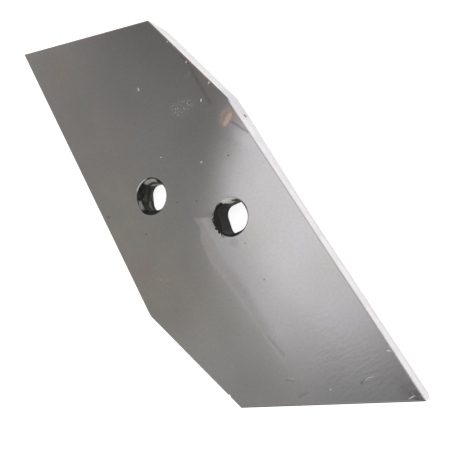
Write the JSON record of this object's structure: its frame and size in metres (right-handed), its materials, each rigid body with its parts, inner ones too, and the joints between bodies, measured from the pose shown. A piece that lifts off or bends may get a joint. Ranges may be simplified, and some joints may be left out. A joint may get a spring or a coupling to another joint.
{
  "type": "ploughshare point",
  "caption": "Flat, skewed steel ploughshare point with bevelled ends and countersunk, square-necked bolt holes.",
  "frame": {"origin": "on the back face, midway between the two bolt holes", "axes": "+X through both bolt holes towards the lower tip, +Z out of the working face"},
  "size_m": [0.3286, 0.216, 0.015],
  "materials": {
    "steel": "dark rolled skin on the face, bare and light on the cut sides"
  },
  "bodies": {
    "root": {"ploughshare_point": "steel"}
  },
  "joints": []
}
